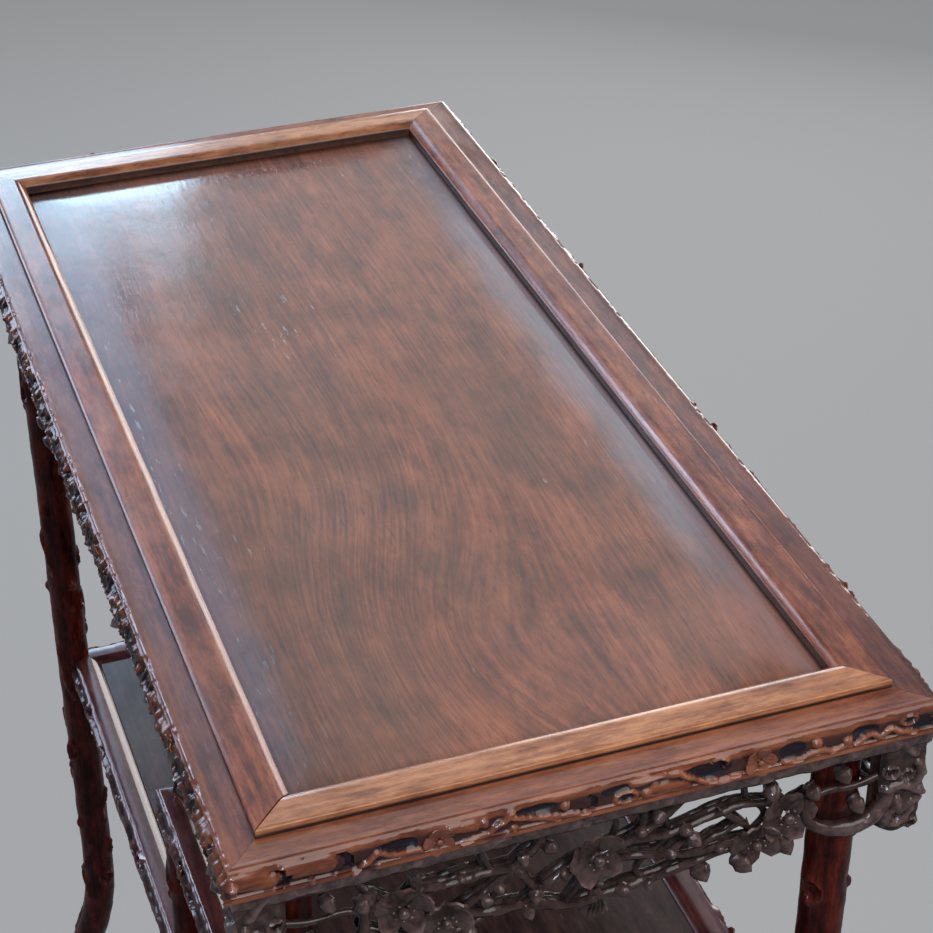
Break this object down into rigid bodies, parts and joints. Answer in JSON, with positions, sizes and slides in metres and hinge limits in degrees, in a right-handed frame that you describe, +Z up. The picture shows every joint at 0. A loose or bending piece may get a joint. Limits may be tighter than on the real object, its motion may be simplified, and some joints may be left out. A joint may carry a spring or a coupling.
{
  "type": "three-tier shelf",
  "caption": "Free-standing carved hardwood display shelf: panelled top with raised moulding and pierced aprons, half-length middle shelf, full-length lower shelf, round legs.",
  "frame": {"origin": "on the floor under the middle of the top", "axes": "+Z up, +X along the length towards the end that carries the half shelf, -Y is the front long side"},
  "size_m": [0.8454, 0.4214, 0.845],
  "materials": {
    "polished_frame": "glossy",
    "figured_panel": "glossy",
    "carved_wood": "satin",
    "plain_wood": "matte"
  },
  "bodies": {
    "root": {"half_shelf_apron_back": "carved_wood", "half_shelf_apron_free_end": "carved_wood", "half_shelf_apron_front": "carved_wood", "half_shelf_apron_leg_end": "carved_wood", "half_shelf_batten": "plain_wood", "half_shelf_corner_keys": "plain_wood", "half_shelf_end_rail": "carved_wood", "half_shelf_frame_back": "polished_frame", "half_shelf_frame_free_end": "polished_frame", "half_shelf_frame_front": "polished_frame", "half_shelf_frame_leg_end": "polished_frame", "half_shelf_panel": "figured_panel", "half_shelf_post_back": "carved_wood", "half_shelf_post_front": "carved_wood", "leg_back_left": "carved_wood", "leg_back_right": "carved_wood", "leg_front_left": "carved_wood", "leg_front_right": "carved_wood", "lower_shelf_apron_back": "carved_wood", "lower_shelf_apron_front": "carved_wood", "lower_shelf_apron_left": "carved_wood", "lower_shelf_apron_right": "carved_wood", "lower_shelf_batten_left": "plain_wood", "lower_shelf_batten_right": "plain_wood", "lower_shelf_corner_keys": "plain_wood", "lower_shelf_frame_back": "polished_frame", "lower_shelf_frame_front": "polished_frame", "lower_shelf_frame_left": "polished_frame", "lower_shelf_frame_right": "polished_frame", "lower_shelf_panel": "figured_panel", "top_apron_back": "carved_wood", "top_apron_front": "carved_wood", "top_apron_left": "carved_wood", "top_apron_right": "carved_wood", "top_batten_left": "plain_wood", "top_batten_right": "plain_wood", "top_frame_back": "polished_frame", "top_frame_front": "polished_frame", "top_frame_left": "polished_frame", "top_frame_right": "polished_frame", "top_moulding_back": "polished_frame", "top_moulding_front": "polished_frame", "top_moulding_left": "polished_frame", "top_moulding_right": "polished_frame", "top_panel": "figured_panel"}
  },
  "joints": []
}
